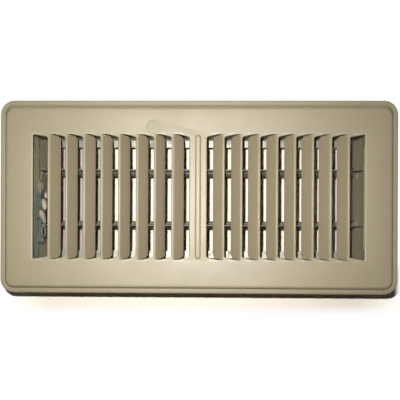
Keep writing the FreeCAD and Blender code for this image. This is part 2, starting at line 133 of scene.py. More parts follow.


# ---- node writing ----------------------------------------------------------------------------
class Value:
    """A node's output socket that can be used in plain sums."""

    def __init__(self, owner, socket):
        self.owner = owner
        self.socket = socket

    def math(self, operation, other=0.0, first=None):
        """A Math node on this value and `other`, or on `first` and `other`."""
        start = self if first is None else first
        return self.owner.node("ShaderNodeMath", {"operation": operation}, {0: start, 1: other})[0]

    def __add__(self, other):
        return self.math("ADD", other)

    def __radd__(self, other):
        return self.math("ADD", other)

    def __sub__(self, other):
        return self.math("SUBTRACT", other)

    def __rsub__(self, other):
        return self.math("SUBTRACT", self, first=other)

    def __mul__(self, other):
        return self.math("MULTIPLY", other)

    def __rmul__(self, other):
        return self.math("MULTIPLY", other)

    def __truediv__(self, other):
        return self.math("DIVIDE", other)

    def __abs__(self):
        return self.math("ABSOLUTE")

    def wrapped(self, length):
        """What is left over after whole lengths."""
        return self.math("FLOORED_MODULO", length)

    def least(self, other):
        return self.math("MINIMUM", other)

    def most(self, other):
        return self.math("MAXIMUM", other)

    def clamp(self):
        return self.most(0.0).least(1.0)

    def sine(self):
        return self.math("SINE")

    def cosine(self):
        return self.math("COSINE")

    def root(self):
        return self.math("SQRT")


def diagonal(first, second):
    """Length of the diagonal between two sides."""
    return (first * first + second * second).root()


def from_ends(x):
    """How far a place is from the inside of the left end plate and of the right one."""
    return x + INNER_HALF_LENGTH, INNER_HALF_LENGTH - x


def as_colour(value):
    """A colour's four numbers, or the Value that it comes from."""
    return value if isinstance(value, Value) else (*value, 1)


class Outputs:
    """The output sockets of a node, by number or name, as Values."""

    def __init__(self, owner, node):
        self.owner = owner
        self.node = node

    def __getitem__(self, key):
        return Value(self.owner, self.node.outputs[key])


class Nodes:
    """A node tree that is written in code."""

    def __init__(self, tree):
        self.tree = tree
        self.tree.nodes.clear()

    def node(self, kind, settings=None, sockets=None):
        """Any node: its type, its settings and the values or links of its sockets."""
        made = self.tree.nodes.new(kind)
        for key, value in (settings or {}).items():
            if key == "stops":
                self.set_stops(made, value)
            else:
                setattr(made, key, value)
        for key, value in (sockets or {}).items():
            if isinstance(value, Value):
                self.tree.links.new(value.socket, made.inputs[key])
            else:
                made.inputs[key].default_value = value
        return Outputs(self, made)

    def set_stops(self, made, stops):
        """Colours of a ramp: (place, colour) from 0 to 1."""
        elements = made.color_ramp.elements
        while len(elements) < len(stops):
            elements.new(0.5)
        for element, (place, colour) in zip(elements, stops):
            element.position = place
            element.color = (*colour, 1)

    def tint(self, first, second, share):
        """Colour from first to second by share."""
        sockets = {0: share, 6: as_colour(first), 7: as_colour(second)}
        return self.node("ShaderNodeMix", {"data_type": "RGBA"}, sockets)[2]


class Pattern(Nodes):
    """A Geometry Nodes tree with named inputs."""

    def __init__(self, name, **inputs):
        super().__init__(bpy.data.node_groups.new(name, "GeometryNodeTree"))
        self.given = inputs
        self.sockets = {}
        for key, value in inputs.items():
            kind = "NodeSocketFloat" if isinstance(value, float) else "NodeSocketMaterial"
            socket = self.tree.interface.new_socket(key.replace("_", " "), in_out="INPUT", socket_type=kind)
            self.sockets[key] = socket.identifier
        self.tree.interface.new_socket("Geometry", in_out="OUTPUT", socket_type="NodeSocketGeometry")
        self.sizes = self.node("NodeGroupInput")

    def vector(self, x, y, z):
        """A place given in millimetres."""
        made = self.node("ShaderNodeCombineXYZ", {}, {0: x, 1: y, 2: z})
        return self.node("ShaderNodeVectorMath", {"operation": "SCALE"}, {0: made[0], "Scale": MM})[0]

    def close(self, geometry):
        """Ends the tree with the geometry realized and given its finish."""
        whole = self.node("GeometryNodeRealizeInstances", {}, {0: geometry})
        finish = {"Geometry": whole[0], "Material": self.sizes["Finish"]}
        painted = self.node("GeometryNodeSetMaterial", {}, finish)
        self.node("NodeGroupOutput", {}, {0: painted[0]})

    def grown(self, **changed):
        """The tree's result as a plain mesh, with some inputs changed."""
        holder = linked(self.tree.name, bpy.data.meshes.new(self.tree.name))
        pattern = holder.modifiers.new("pattern", "NODES")
        pattern.node_group = self.tree
        for key, value in {**self.given, **changed}.items():
            pattern[self.sockets[key]] = value
        return evaluated(holder)


class Shader(Nodes):
    """One material and its nodes, with sizes in millimetres."""

    def __init__(self, name):
        self.material = bpy.data.materials.new(name)
        self.material.use_nodes = True
        self.places = {}
        super().__init__(self.material.node_tree)

    def place(self, stretch=(1, 1, 1)):
        """Object coordinates in metres, stretched."""
        if stretch not in self.places:
            raw = self.node("ShaderNodeTexCoord")["Object"]
            moved = self.node("ShaderNodeMapping", {}, {"Vector": raw, "Scale": stretch})
            self.places[stretch] = moved["Vector"]
        return self.places[stretch]

    def spot(self):
        """The place's three numbers, in millimetres."""
        parts = self.node("ShaderNodeSeparateXYZ", {}, {0: self.place()})
        return [parts[axis] / MM for axis in "XYZ"]

    def noise(self, size, detail, seed, roughness=0.5, stretch=(1, 1, 1)):
        """Noise from 0 to 1 whose features are about `size` across."""
        sockets = {"Vector": self.place(stretch), "W": seed, "Scale": 1 / (size * MM), "Detail": detail,
                   "Roughness": roughness}
        return self.node("ShaderNodeTexNoise", {"noise_dimensions": "4D"}, sockets)[0]

    def step(self, value, start, end):
        """Smooth 0 to 1 as value goes from start to end."""
        sockets = {"Value": value, "From Min": start, "From Max": end}
        return self.node("ShaderNodeMapRange", {"interpolation_type": "SMOOTHSTEP"}, sockets)["Result"]

    def band(self, value, middle, flat, reach):
        """1 within `flat` of the middle, falling to 0 at `reach`."""
        return self.step(abs(value - middle), reach, flat)

    def inside(self, half_x, half_y, corner):
        """Distance inside the outline of a rounded rectangle."""
        x, y, _ = self.spot()
        across = abs(x) - (half_x - corner)
        along = abs(y) - (half_y - corner)
        return corner - diagonal(across.most(0.0), along.most(0.0)) - across.most(along).least(0.0)

    def edges(self, reach):
        """1 on sharp convex edges, 0 on flats."""
        straight = self.node("ShaderNodeNewGeometry")["Normal"]
        rounded = self.node("ShaderNodeBevel", {"samples": 4}, {"Radius": reach * MM})["Normal"]
        same = self.node("ShaderNodeVectorMath", {"operation": "DOT_PRODUCT"}, {0: straight, 1: rounded})
        return self.step(same["Value"], 0.995, 0.90)

    def bump(self, height, depth):
        """Relief of this depth."""
        sockets = {"Height": height, "Distance": depth * MM, "Strength": 1.0}
        return self.node("ShaderNodeBump", {}, sockets)["Normal"]

    def finish(self, varying, **fixed):
        """A Principled surface; numbers in `fixed` are set on its own sockets."""
        sockets = dict(varying)
        sockets.update({key.replace("_", " "): value for key, value in fixed.items()})
        surface = self.node("ShaderNodeBsdfPrincipled", {}, sockets)
        self.node("ShaderNodeOutputMaterial", {}, {"Surface": surface["BSDF"]})
        return self.material


# ---- mesh helpers ----------------------------------------------------------------------------
def turn_path(x, y, runs, steps):
    """Points of a bent line that sets out along X: runs are (length,) or (radius, turn in degrees)."""
    heading = 0.0
    points = [(x, y)]
    for run in runs:
        angle = math.radians(heading)
        if len(run) == 1:
            x += run[0] * math.cos(angle)
            y += run[0] * math.sin(angle)
            points.append((x, y))
            continue
        radius, turn = run
        sign = math.copysign(1, turn)
        centre = (x - sign * radius * math.sin(angle), y + sign * radius * math.cos(angle))
        for step in range(1, steps + 1):
            now = math.radians(heading + turn * step / steps)
            x = centre[0] + sign * radius * math.sin(now)
            y = centre[1] - sign * radius * math.cos(now)
            points.append((x, y))
        heading += turn
    return points


def rounded_ring(half_x, half_y, radius, steps):
    """Points of a rounded rectangle, anticlockwise."""
    ring = []
    for quarter, (sx, sy) in enumerate(((1, 1), (-1, 1), (-1, -1), (1, -1))):
        for step in range(steps + 1):
            angle = math.radians(90 * quarter + 90 * step / steps)
            ring.append((sx * (half_x - radius) + radius * math.cos(angle),
                         sy * (half_y - radius) + radius * math.sin(angle)))
    return ring


def add_ring(mesh, points, height):
    """A level ring of vertices, with places in millimetres."""
    return [mesh.verts.new((x * MM, y * MM, height * MM)) for x, y in points]


def join_rings(mesh, first, second, closed=True):
    """Faces between two rings; open ones have no face from the last point to the first."""
    count = len(first)
    for i in range(count if closed else count - 1):
        j = (i + 1) % count
        mesh.faces.new((first[i], second[i], second[j], first[j]))


def raised(mesh, rings):
    """A closed mound of rings with its top capped; gives back its foot's ring."""
    for outer, inner in zip(rings, rings[1:]):
        join_rings(mesh, outer, inner)
    mesh.faces.new(rings[-1])
    return rings[0]


def ring_edges(mesh, ring):
    """The edges round a closed ring."""
    pairs = zip(ring, ring[1:] + ring[:1])
    return [mesh.edges.get(pair) or mesh.edges.new(pair) for pair in pairs]


def linked(name, data):
    """An object in the scene with this data."""
    made = bpy.data.objects.new(name, data)
    bpy.context.scene.collection.objects.link(made)
    return made


def held(name, mesh):
    """An object in the scene that takes over a finished bmesh."""
    data = bpy.data.meshes.new(name)
    mesh.to_mesh(data)
    mesh.free()
    return linked(name, data)


def evaluated(holder):
    """Plain mesh of an object with its modifiers applied; the holder is removed."""
    bpy.context.view_layer.update()
    depsgraph = bpy.context.evaluated_depsgraph_get()
    mesh = bpy.data.meshes.new_from_object(holder.evaluated_get(depsgraph))
    bpy.data.objects.remove(holder)
    return mesh


def finished(name, mesh, material, body, slot, *stands_for, sharp=35.0):
    """Gives a finished mesh its place in the scene: material, smooth faces and body; `slot` is not used."""
    piece = linked(name, mesh)
    mesh.materials.clear()
    mesh.materials.append(material)
    mesh.polygons.foreach_set("use_smooth", [True] * len(mesh.polygons))
    mesh.set_sharp_from_angle(angle=math.radians(sharp))
    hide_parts(*stands_for)
    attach(piece, body)


def sheet_metal(holder):
    """Thickness below the modelled surface, and a softened cut edge."""
    wall = holder.modifiers.new("wall", "SOLIDIFY")
    wall.thickness = SHEET * MM
    wall.offset = -1
    wall.use_even_offset = True
    edge = holder.modifiers.new("edge", "BEVEL")
    edge.width = CUT_EDGE * MM
    edge.segments = 2
    edge.limit_method = "ANGLE"
    edge.angle_limit = math.radians(50)


# ---- faceplate: rim, field, rolled slots, fins, bead and weld ----------------------------------
def fold_place(number):
    """How far from the middle a fin has its fold; fins are numbered from the middle."""
    return BAR_HALF + (number + 1) * FIN_PITCH - STRIP


def slot_fall(distance):
    """How much shorter half a slot is at this distance from its fold."""
    return SLANT * max(0.0, distance - SLANT_START)


def slot_outline(near, far, folded):
    """Field-level edge of a slot, with how far each point is rolled down. Beside a fold the
    roll fades away; without one the edge is a closed ring."""
    steps = 5
    middle = (near + far) / 2
    reach = LIP_REACH * END_ROLL
    ring = [(x + middle, y - math.copysign(slot_fall(far - middle - x), y))
            for x, y in rounded_ring((far - near) / 2, FOLD_HALF + reach, SLOT_CORNER, steps)]
    if not folded:
        return [(x, y, 1.0) for x, y in ring]
    growth = [END_ROLL + (1 - END_ROLL) * i / steps for i in range(steps + 1)]
    top = [(far - x, FOLD_HALF - slot_fall(x) + LIP_REACH * roll, roll) for x, roll in ROLL_FADE]
    path = top + [(x, y, roll) for (x, y), roll in zip(ring[steps + 1:], growth)]
    path += [(x, y, roll) for (x, y), roll in zip(ring[2 * steps + 2:], reversed(growth))]
    return path + [(x, -y, roll) for x, y, roll in reversed(top)]


def roll_down(mesh, side, outline, closed):
    """Rolled edge of a slot; gives back its field-level ring."""
    count = len(outline)
    inward = []
    for i in range(count):
        before = outline[i - 1] if closed or i > 0 else outline[i]
        after = outline[(i + 1) % count] if closed or i < count - 1 else outline[i]
        along = Vector((after[0] - before[0], after[1] - before[1])).normalized()
        inward.append(Vector((-along.y, along.x)))
    rings = []
    steps = 6
    for step in range(steps + 1):
        angle = math.radians(LIP_ANGLE * step / steps)
        places = []
        for (x, y, roll), across in zip(outline, inward):
            reach = LIP_RADIUS * roll * math.sin(angle)
            drop = LIP_RADIUS * roll * (1 - math.cos(angle))
            places.append((side * (x + across.x * reach), y + across.y * reach, FACE - drop))
        rings.append([mesh.verts.new(Vector(place) * MM) for place in places])
    for upper, lower in zip(rings, rings[1:]):
        join_rings(mesh, upper, lower, closed)
    return rings[0]


def rim(mesh):
    """Formed edge of the plate; gives back its ring round the flat field."""
    rings = []
    for reach, height in turn_path(RIM_START, 0.0, RIM_RUNS, RIM_STEPS):
        ring = rounded_ring(HALF_LENGTH + reach, HALF_WIDTH + reach, CORNER + reach, CORNER_STEPS)
        rings.append(add_ring(mesh, ring, FACE + height))
    for inner, outer in zip(rings, rings[1:]):
        join_rings(mesh, outer, inner)
    return rings[0]


def bead(mesh):
    """Raised bead along the middle bar; gives back its foot's ring."""
    foot = BEAD_HALF_WIDTH + BEAD_FOOT
    rings = []
    for inset, height in BEAD_PROFILE:
        radius = foot - inset - BEAD_END_FLAT / 2
        ring = rounded_ring(foot - inset, SLOT_HALF - inset, radius, 8)
        rings.append(add_ring(mesh, ring, FACE + height * BEAD_HEIGHT))
    return raised(mesh, rings)


def weld_mark(mesh):
    """Shallow round dimple left by a spot weld; gives back its outer ring."""
    count = 32
    turns = [2 * math.pi * i / count for i in range(count)]
    rings = []
    for share, height in WELD_PROFILE:
        radius = WELD_RADIUS * share
        ring = [(WELD[0] + radius * math.cos(a), WELD[1] + radius * math.sin(a)) for a in turns]
        rings.append(add_ring(mesh, ring, FACE + height))
    return raised(mesh, rings)


def fin_pattern(finish):
    """One fin, bent down from its fold, with the corners of its free edge rounded."""
    fin = Pattern("fin", Fold=0.0, Side=1.0, Angle=0.7, Length=FIN_LENGTH, Bend_Radius=FIN_FOLD,
                  Corner=FIN_CORNER, Half_Length=FOLD_HALF, Slant=SLANT, Slant_Start=SLANT_START,
                  Clear=FIN_CLEAR, Root_Gap=ROOT_GAP, Root_Run=ROOT_RUN, Face=FACE, Finish=finish)
    size = fin.sizes
    grid = {"Size X": 1.0, "Size Y": 2.0, "Vertices X": 45, "Vertices Y": 2}
    strip = fin.node("GeometryNodeMeshGrid", {}, grid)
    spot = fin.node("ShaderNodeSeparateXYZ", {}, {0: fin.node("GeometryNodeInputPosition")[0]})
    share = spot["X"] + 0.5
    along = share * share * (3.0 - 2.0 * share) * size["Length"]
    angle = size["Angle"]
    radius = size["Bend Radius"]
    bent = radius * angle
    turned = along.least(bent) / radius
    beyond = (along - bent).most(0.0)
    out = radius * turned.sine() + beyond * angle.cosine()
    down = radius * (1.0 - turned.cosine()) + beyond * angle.sine()
    corner = size["Corner"]
    cut = (corner - (size["Length"] - along)).most(0.0)
    free = (out - size["Root Run"]).clamp()
    fall = size["Slant"] * (out - size["Slant Start"]).most(0.0)
    edge = size["Half Length"] - fall - size["Clear"] * free - size["Root Gap"] * (1.0 - free)
    half = edge - corner + (corner * corner - cut * cut).root()
    across = (size["Fold"] - out) * size["Side"]
    shape = fin.vector(across, spot["Y"] * half, size["Face"] - down)
    placed = fin.node("GeometryNodeSetPosition", {}, {"Geometry": strip["Mesh"], "Position": shape})
    fin.close(placed[0])
    return fin


def faceplate(finish):
    """The whole pressing: one sheet with its rim, slots, fins, bead and weld mark."""
    mesh = bmesh.new()
    borders = ring_edges(mesh, rim(mesh))
    for side in (-1, 1):
        for number in range(FINS):
            near = BAR_HALF + number * FIN_PITCH
            fold = fold_place(number)
            outline = slot_outline(near - LIP_REACH, fold, folded=True)
            ring = roll_down(mesh, side, outline, closed=False)
            root = [(side * fold, y * (FOLD_HALF - ROOT_GAP)) for y in (-1, 1)]
            borders += ring_edges(mesh, ring + add_ring(mesh, root, FACE))
        outline = slot_outline(END_SLOT_NEAR - LIP_REACH, END_SLOT_FAR + LIP_REACH, folded=False)
        borders += ring_edges(mesh, roll_down(mesh, side, outline, closed=True))
    borders += ring_edges(mesh, bead(mesh)) + ring_edges(mesh, weld_mark(mesh))
    bmesh.ops.triangle_fill(mesh, use_beauty=True, use_dissolve=False, edges=borders)
    fin = fin_pattern(finish)
    for side, angles in ((-1, LEFT_FINS), (1, RIGHT_FINS)):
        for number, angle in enumerate(angles):
            bend = math.radians(angle)
            mesh.from_mesh(fin.grown(Fold=fold_place(number), Side=float(side), Angle=bend))
    bmesh.ops.remove_doubles(mesh, verts=mesh.verts, dist=MERGE * MM)
    bmesh.ops.recalc_face_normals(mesh, faces=mesh.faces)
    if sum(face.normal.z * face.calc_area() for face in mesh.faces) < 0:
        bmesh.ops.reverse_faces(mesh, faces=mesh.faces)
    holder = held("faceplate_sheet", mesh)
    sheet_metal(holder)
    finished("faceplate_pressing", evaluated(holder), finish, "housing", "face_enamel", "faceplate")


# ---- finger grip -----------------------------------------------------------------------------
def swelling(mesh, middle, half_height, across, along, half_long, half_wide, lean):
    """One rounded swelling of the grip."""
    place = Matrix.Translation(Vector((middle.x + across, middle.y + along, middle.z)) * MM)
    turn = Matrix.Rotation(math.radians(lean), 4, "Z")
    shape = Matrix.Diagonal((half_wide * MM, half_long * MM, half_height * MM, 1))
    bmesh.ops.create_uvsphere(mesh, u_segments=28, v_segments=18, radius=1.0, matrix=place @ turn @ shape)


def eye(mesh, middle, steps=48, wire_steps=12):
    """The slotted eye at the end of the grip: a thick wire round a long hole."""
    rounds = []
    for step in range(steps):
        angle = 2 * math.pi * step / steps
        flat = math.copysign(abs(math.sin(angle)) ** EYE_SQUARE, math.sin(angle))
        half_width = (EYE_HALF_WIDTH - EYE_WIRE) * (1 - EYE_TAPER * flat)
        spine = Vector((EYE[0] + half_width * math.cos(angle), EYE[1] + EYE_HALF_LENGTH * flat))
        outward = Vector((math.cos(angle), math.sin(angle) * EYE_TURN)).normalized()
        ring = []
        for part in range(wire_steps):
            turn = 2 * math.pi * part / wire_steps
            place = spine + outward * EYE_WIRE * math.cos(turn)
            height = EYE_HALF_HEIGHT * math.sin(turn) - EYE_DROP
            ring.append(mesh.verts.new((middle + Vector((*place, height))) * MM))
        rounds.append(ring)
    for first, second in zip(rounds, rounds[1:] + rounds[:1]):
        join_rings(mesh, first, second)


def grip(finish):
    """Finger grip: three swellings that lean into each other and a slotted eye, moulded in one."""
    low, high = (Vector(corner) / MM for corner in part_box("lever_grip"))
    middle = (low + high) / 2
    mesh = bmesh.new()
    for shape in SWELLINGS:
        swelling(mesh, middle, (high.z - low.z) / 2, *shape)
    eye(mesh, middle)
    bmesh.ops.recalc_face_normals(mesh, faces=mesh.faces)
    holder = held("lever_grip_mass", mesh)
    whole = holder.modifiers.new("whole", "REMESH")
    whole.mode = "VOXEL"
    whole.voxel_size = GRIP_VOXEL * MM
    ease = holder.modifiers.new("ease", "SMOOTH")
    ease.factor = 0.6
    ease.iterations = 3
    finished("moulded_finger_grip", evaluated(holder), finish, "operating_link", "grip_plastic",
             "lever_grip", sharp=180)


# ---- enamels ---------------------------------------------------------------------------------
class Enamel(Shader):
    """Satin stoving enamel with a pale sheen: orange peel, faint clouding, browner on worn edges."""

    def __init__(self, name, colour, dull, grain, roughness, gloss):
        super().__init__(name)
        self.clouds = self.noise(22.0, detail=2.0, seed=1.0)
        self.patches = self.noise(4.5, detail=3.0, seed=2.0)
        peel = self.noise(1.1, detail=2.0, roughness=0.6, seed=3.0)
        fine = self.noise(0.35, detail=2.0, seed=4.0)
        shade = (self.clouds - 0.5) * 0.5 + (self.patches - 0.5) * 0.5 + 0.5
        self.colour = self.tint(colour, dull, self.step(shade, 0.35, 0.75))
        worn = self.edges(0.4) * self.step(self.patches, 0.35, 0.6)
        self.mark(tuple(part * 0.72 for part in dull), worn * 0.6)
        self.rough = roughness + (self.clouds - 0.5) * 0.12 + (peel - 0.5) * 0.1
        self.gloss = gloss
        self.surface = self.bump(peel * 0.7 + fine * 0.3, 0.16 * grain)

    def mark(self, colour, share):
        """Lays a colour over the enamel by share."""
        self.colour = self.tint(self.colour, colour, share)

    def dried(self, sheen):
        """The finished material; `sheen` is the index of refraction of its top."""
        varying = {"Base Color": self.colour, "Roughness": self.rough, "Coat Weight": self.gloss,
                   "Normal": self.surface}
        return self.finish(varying, IOR=sheen, Specular_IOR_Level=1.0, Coat_Roughness=0.32)


def mark_rim(paint):
    """Painted shade in the groove round the face, and a duller rolled rim painted darker as shade, more so at
    the front.
    """
    x, y, _ = paint.spot()
    rear = paint.step(y, HALF_WIDTH - 13, HALF_WIDTH - 7)
    near = paint.step(y, 11 - HALF_WIDTH, 6 - HALF_WIDTH)
    ends = paint.step(abs(x), HALF_LENGTH - 10, HALF_LENGTH - 6)
    inside = paint.inside(HALF_LENGTH, HALF_WIDTH, CORNER)
    # painted shade in the groove: heavier at the front and the ends, wider and lighter at the rear
    groove_shade = paint.band(inside - rear * 0.9, GROOVE, rear * 0.9 + 0.25, rear * 1.6 + 0.9)
    paint.mark((0.10, 0.075, 0.015), groove_shade * (0.5 - rear * 0.15 + near.most(ends * 0.6) * 0.35))
    # painted shade on the rolled rim, more of it at the front
    rolled = paint.step(inside, RIM_ROLL + 0.6, RIM_ROLL)
    paint.mark((0.385, 0.315, 0.160), rolled * 0.85)
    paint.mark((0.26, 0.20, 0.085), rolled * near * 0.3)
    paint.gloss = (1.0 - groove_shade) * paint.gloss * (1.0 - rolled * 0.7)
    paint.rough = paint.rough + rolled * 0.1 + groove_shade * 0.3


def mark_slots(paint):
    """Painted shade on the fins and in creases at the ends of the slots, and painted highlights beyond them.
    """
    x, y, z = paint.spot()
    across, along = abs(x), abs(y)
    depth = FACE - z
    slotted = paint.step(across, END_SLOT_FAR + 1.5, END_SLOT_FAR)
    slotted = slotted * paint.step(along, SLOT_HALF + 2.7, SLOT_HALF + 1.7)
    from_fold = FIN_PITCH - (across + STRIP - BAR_HALF).wrapped(FIN_PITCH)
    short = (CORNER_EASE - from_fold).most(0.0)
    late = (along + CORNER_EASE - FOLD_HALF - 0.2).most(0.0)
    rounded = paint.step(diagonal(short, late), CORNER_EASE, CORNER_EASE - 1.0)

    # painted shade on the fins, heavier on the left bank, rounded off at the ends of the fold
    fin = paint.step(depth, 0.12, 0.9) * slotted * rounded
    fin_shade_colour = paint.tint((0.285, 0.214, 0.108), (0.335, 0.256, 0.131), paint.step(x, -4.0, 4.0))
    paint.mark(fin_shade_colour, fin * 0.95)
    # more painted shade on the outer fins
    paint.mark((0.30, 0.235, 0.105), fin * paint.step(across, 70.0, 112.0) * 0.2)
    # painted shade in the creases at the ends of the slots, fading out towards the fold
    crease_shade = paint.step(depth, 0.25, 0.7) * paint.step(along, FOLD_HALF - 1.5, FOLD_HALF - 0.3) * slotted
    paint.mark((0.14, 0.11, 0.06), crease_shade * paint.step(from_fold, 1.5, 4.5) * 0.8)

    # painted highlights on the rolled slot ends, in dashes beneath the fins
    waves = ((x + HIGHLIGHT_SHIFT) * (2 * math.pi / FIN_PITCH)).cosine()
    slot_end_highlight = paint.band(along, FOLD_HALF + 0.4, 0.35, 1.1) * slotted * paint.step(depth, 0.45, 0.2)
    slot_end_highlight = slot_end_highlight * paint.step(waves, -1.0, 0.8) * paint.step(across, BAR_HALF + 0.2, BAR_HALF + 2.7)
    paint.mark((0.66, 0.58, 0.40), slot_end_highlight * 0.6)
    paint.gloss = (paint.gloss + slot_end_highlight * 0.5) * (1.0 - fin)
    paint.rough = paint.rough + fin * 0.32


def mark_weld(paint):
    """Duller enamel over the spot weld."""
    x, y, _ = paint.spot()
    distance = diagonal(x - WELD[0], y - WELD[1])
    paint.mark((0.40, 0.335, 0.165), paint.step(distance, WELD_RADIUS + 0.5, WELD_RADIUS - 0.3) * 0.55)


def face_enamel():
    """The face's enamel, with its weld mark, painted shade in its groove, on its rim and fins and in the slot
    creases, and painted highlights at the slot ends.
    """
    paint = Enamel("face enamel", (0.490, 0.400, 0.228), (0.455, 0.368, 0.206), grain=1.0,
                   roughness=0.63, gloss=0.19)
    mark_rim(paint)
    mark_slots(paint)
    mark_weld(paint)
    return paint.dried(sheen=2.0)


def box_enamel():
    """The box's enamel: bloom and two lines of painted shade on the left end, a band of painted shade
    and a painted highlight above it on the right end, and painted shade high on the long walls, all on the
    inside only."""
    paint = Enamel("box enamel", (0.52, 0.45, 0.305), (0.44, 0.385, 0.26), grain=1.3, roughness=0.62,
                   gloss=0.05)
    x, y, z = paint.spot()
    from_left, from_right = from_ends(x)
    height = z + (paint.patches - 0.5) * 3.0
    inner = paint.step(abs(y), INNER_HALF_WIDTH + 0.5, INNER_HALF_WIDTH + 0.3)
    inner = inner * paint.step(abs(x), INNER_HALF_LENGTH + 0.5, INNER_HALF_LENGTH + 0.3)

    bloom = paint.step(from_left, 13.0, 3.0) * paint.step(height, 33.0, 36.0) * inner
    green = bloom * paint.step(y + (paint.clouds - 0.5) * 40.0, 16.0, -4.0)
    paint.mark((0.60, 0.565, 0.32), bloom * 0.6)
    paint.mark((0.27, 0.39, 0.36), green * 0.75)
    # two lines of painted shade across the left end plate
    lower, upper = (paint.band(height, level, flat, reach) * share for level, flat, reach, share in END_SHADE_LINES)
    left_end = paint.step(from_left, 5.0, 3.0) * inner
    paint.mark((0.06, 0.055, 0.045), lower.most(upper) * left_end * 0.85)

    right_end = paint.step(from_right, 5.0, 3.0) * inner
    # a band of painted shade on the right end, and a painted highlight above it
    paint.mark((0.22, 0.19, 0.12), paint.band(height, 40.0, 1.5, 3.0) * right_end * 0.4)
    paint.mark((0.66, 0.58, 0.40), paint.step(height, 43.5, 47.0) * right_end * 0.45)

    # painted shade high on the long walls, under the slot ends
    grime = paint.step(abs(y), INNER_HALF_WIDTH - 2.5, INNER_HALF_WIDTH - 0.7) * inner
    paint.mark((0.035, 0.028, 0.02), grime * paint.step(height, 25.5, 28.0) * 0.9)
    return paint.dried(sheen=1.7)


def blade_enamel():
    """The dark enamel of the damper blades, its darkness painted shade, with painted highlights in two lines
    along the front one.
    """
    # dark colours that stand for the shade down in the box
    paint = Enamel("blade enamel", (0.15, 0.125, 0.09), (0.11, 0.09, 0.065), grain=1.2, roughness=0.58,
                   gloss=0.05)
    y = paint.spot()[1]
    # painted highlights along the front blade and its saddle
    blade, saddle = (paint.band(y, line, 0.25, 0.6) for line in BLADE_HIGHLIGHT_LINES)
    paint.mark((0.42, 0.36, 0.25), blade.most(saddle) * 0.8)
    return paint.dried(sheen=1.6)


# ---- metals and plastics -----------------------------------------------------------------------
def plated_steel():
    """Zinc-plated rods, stops and linkage: dull spangle, rolling marks and brown bloom, with old grease
    and painted shade on the linkage, painted shade round the rear rod, overspray of enamel at both
    ends and a green film."""
    metal = Shader("plated steel")
    spangle = metal.noise(3.0, detail=1.0, seed=5.0)
    rolled = metal.noise(0.6, detail=2.0, stretch=(1, 0.08, 1), seed=6.0)
    bloom = metal.step(metal.noise(9.0, detail=4.0, seed=7.0), 0.5, 0.72)
    ragged = (metal.noise(4.0, detail=3.0, seed=14.0) - 0.5) * 2.0
    x, y, _ = metal.spot()
    from_left, from_right = from_ends(x)
    linkage = metal.step(from_left + ragged, 15.5, 13.5)
    # painted shade round the rear rod
    rear_shade = metal.band(y, 22.0, 8.0, 12.0) * metal.step(from_left.least(from_right), 0.5, 1.5)
    # the dark linkage is partly old grease and partly painted shade beside the grip
    grease_and_shade = linkage.most(rear_shade * 0.9)
    sprayed = (linkage * metal.step(y, 1.0, 5.0)).most(metal.step(from_right, 13.0, 10.0))
    filmed = linkage * metal.step(from_left, 6.5, 5.0) * metal.step(y, 3.0, -3.0)
    covered = grease_and_shade.most(sprayed)

    colour = metal.tint((0.70, 0.67, 0.60), (0.546, 0.5226, 0.468), spangle)
    colour = metal.tint(colour, (0.23, 0.19, 0.14), bloom * 0.7)
    colour = metal.tint(colour, (0.075, 0.062, 0.042), grease_and_shade * 0.95)
    colour = metal.tint(colour, (0.34, 0.30, 0.21), sprayed * 0.95)
    colour = metal.tint(colour, (0.17, 0.225, 0.20), filmed * 0.75)
    # painted shade: the rear rod and what lies round it made nearly black
    colour = metal.tint(colour, (0.02, 0.016, 0.01), rear_shade * (1.0 - linkage) * 0.9)
    return metal.finish({"Base Color": colour,
                         "Roughness": 0.42 + rolled * 0.14 + bloom * 0.2 + covered * 0.3,
                         "Metallic": (0.85 - bloom * 0.5) * (1.0 - covered * 0.97),
                         "Normal": metal.bump(rolled * 0.5 + spangle * 0.5, 0.02)})


def bright_steel():
    """Headed pins, rivets and spring washers: turned marks, dark oil in the corners, and
    overspray of enamel inside the box."""
    metal = Shader("bright steel")
    marks = metal.noise(0.4, detail=2.0, stretch=(0.2, 1, 1), seed=8.0)
    grime = metal.step(metal.noise(2.5, detail=3.0, seed=9.0), 0.48, 0.7)
    inner = metal.step(abs(metal.spot()[0]), INNER_HALF_LENGTH + 0.5, INNER_HALF_LENGTH - 0.5)
    colour = metal.tint((0.34, 0.32, 0.27), (0.16, 0.13, 0.10), grime * 0.6)
    colour = metal.tint(colour, (0.36, 0.32, 0.23), inner * 0.8)
    return metal.finish({"Base Color": colour,
                         "Roughness": 0.40 + marks * 0.12 + grime * 0.25 + inner * 0.3,
                         "Metallic": (0.8 - grime * 0.5) * (1.0 - inner * 0.9),
                         "Normal": metal.bump(marks, 0.015)})


def nylon():
    """Natural nylon bushes, a little yellowed, with moulding texture, and stained inside the box."""
    plastic = Shader("nylon")
    aged = plastic.noise(4.0, detail=3.0, seed=10.0)
    grain = plastic.noise(0.3, detail=2.0, seed=11.0)
    inner = plastic.step(abs(plastic.spot()[0]), INNER_HALF_LENGTH + 1.5, INNER_HALF_LENGTH + 0.5)
    colour = plastic.tint((0.74, 0.70, 0.60), (0.60, 0.53, 0.38), plastic.step(aged, 0.4, 0.7))
    colour = plastic.tint(colour, (0.40, 0.35, 0.245), inner * 0.92)
    return plastic.finish({"Base Color": colour,
                           "Roughness": 0.45 + aged * 0.12,
                           "Normal": plastic.bump(grain, 0.01)})


